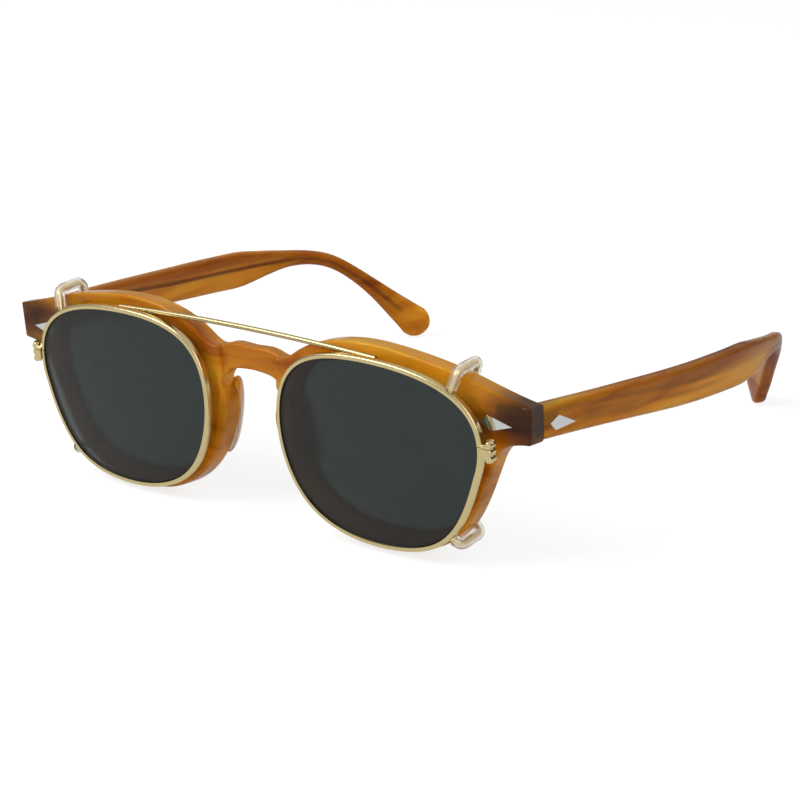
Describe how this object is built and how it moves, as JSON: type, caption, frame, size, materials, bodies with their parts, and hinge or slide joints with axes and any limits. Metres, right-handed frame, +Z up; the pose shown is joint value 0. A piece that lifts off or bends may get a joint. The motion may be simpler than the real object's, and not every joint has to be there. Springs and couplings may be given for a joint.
{
  "type": "spectacle frame with clip on lenses",
  "caption": "Acetate spectacle frame with folding temples that wears a hook-on clip of dark lenses in thin metal rims joined by a brow bar.",
  "frame": {"origin": "middle of the footprint on the surface that the front rims and temple tips rest on", "axes": "+X to the wearer's left, +Y back along the temples, +Z up, standing on the rims and the temple tips"},
  "size_m": [0.1452, 0.1343, 0.0439],
  "materials": {
    "amber_acetate": "polished, slightly translucent, soft streaks",
    "gold_metal": "polished pale gold plate",
    "silver_rivet": "polished",
    "hinge_steel": "satin",
    "clear_lens": "polished clear",
    "dark_lens": "polished dark grey green tint",
    "clear_sleeve": "milky clear silicone, satin"
  },
  "bodies": {
    "frame": {"frame_front": "amber_acetate", "demo_lens_left": "clear_lens", "demo_lens_right": "clear_lens", "nose_pad_left": "amber_acetate", "nose_pad_right": "amber_acetate", "front_hinge_left": "hinge_steel", "front_hinge_right": "hinge_steel", "hinge_screw_left": "hinge_steel", "hinge_screw_right": "hinge_steel", "front_rivet_left": "silver_rivet", "front_rivet_right": "silver_rivet"},
    "temple_left": {"temple_left": "amber_acetate", "temple_core_left": "hinge_steel", "temple_hinge_left": "hinge_steel", "temple_rivet_left": "silver_rivet"},
    "temple_right": {"temple_right": "amber_acetate", "temple_core_right": "hinge_steel", "temple_hinge_right": "hinge_steel", "temple_rivet_right": "silver_rivet"},
    "clip": {"brow_bar": "gold_metal", "clip_lens_left": "dark_lens", "clip_lens_right": "dark_lens", "clip_rim_left": "gold_metal", "clip_rim_right": "gold_metal", "closing_block_upper_left": "gold_metal", "closing_block_upper_right": "gold_metal", "closing_block_lower_left": "gold_metal", "closing_block_lower_right": "gold_metal", "closing_screw_left": "gold_metal", "closing_screw_right": "gold_metal", "hook_upper_left": "gold_metal", "hook_upper_right": "gold_metal", "hook_lower_left": "gold_metal", "hook_lower_right": "gold_metal", "hook_sleeve_upper_left": "clear_sleeve", "hook_sleeve_upper_right": "clear_sleeve", "hook_sleeve_lower_left": "clear_sleeve", "hook_sleeve_lower_right": "clear_sleeve"}
  },
  "joints": [
    {"name": "temple_left_fold", "type": "hinge", "parent": "frame", "child": "temple_left", "pos_m": [0.0623, -0.05477, 0.03173], "axis": [0, 0.0759, 0.9971], "range_deg": [0, 84]},
    {"name": "temple_right_fold", "type": "hinge", "parent": "frame", "child": "temple_right", "pos_m": [-0.0623, -0.05477, 0.03173], "axis": [0, -0.0759, -0.9971], "range_deg": [0, 68]},
    {"name": "clip_off", "type": "slide", "parent": "frame", "child": "clip", "axis": [0, -1, 0], "range_m": [0, 0.025], "deforming": ["hook_upper_left", "hook_upper_right", "hook_lower_left", "hook_lower_right", "hook_sleeve_upper_left", "hook_sleeve_upper_right", "hook_sleeve_lower_left", "hook_sleeve_lower_right"]}
  ]
}
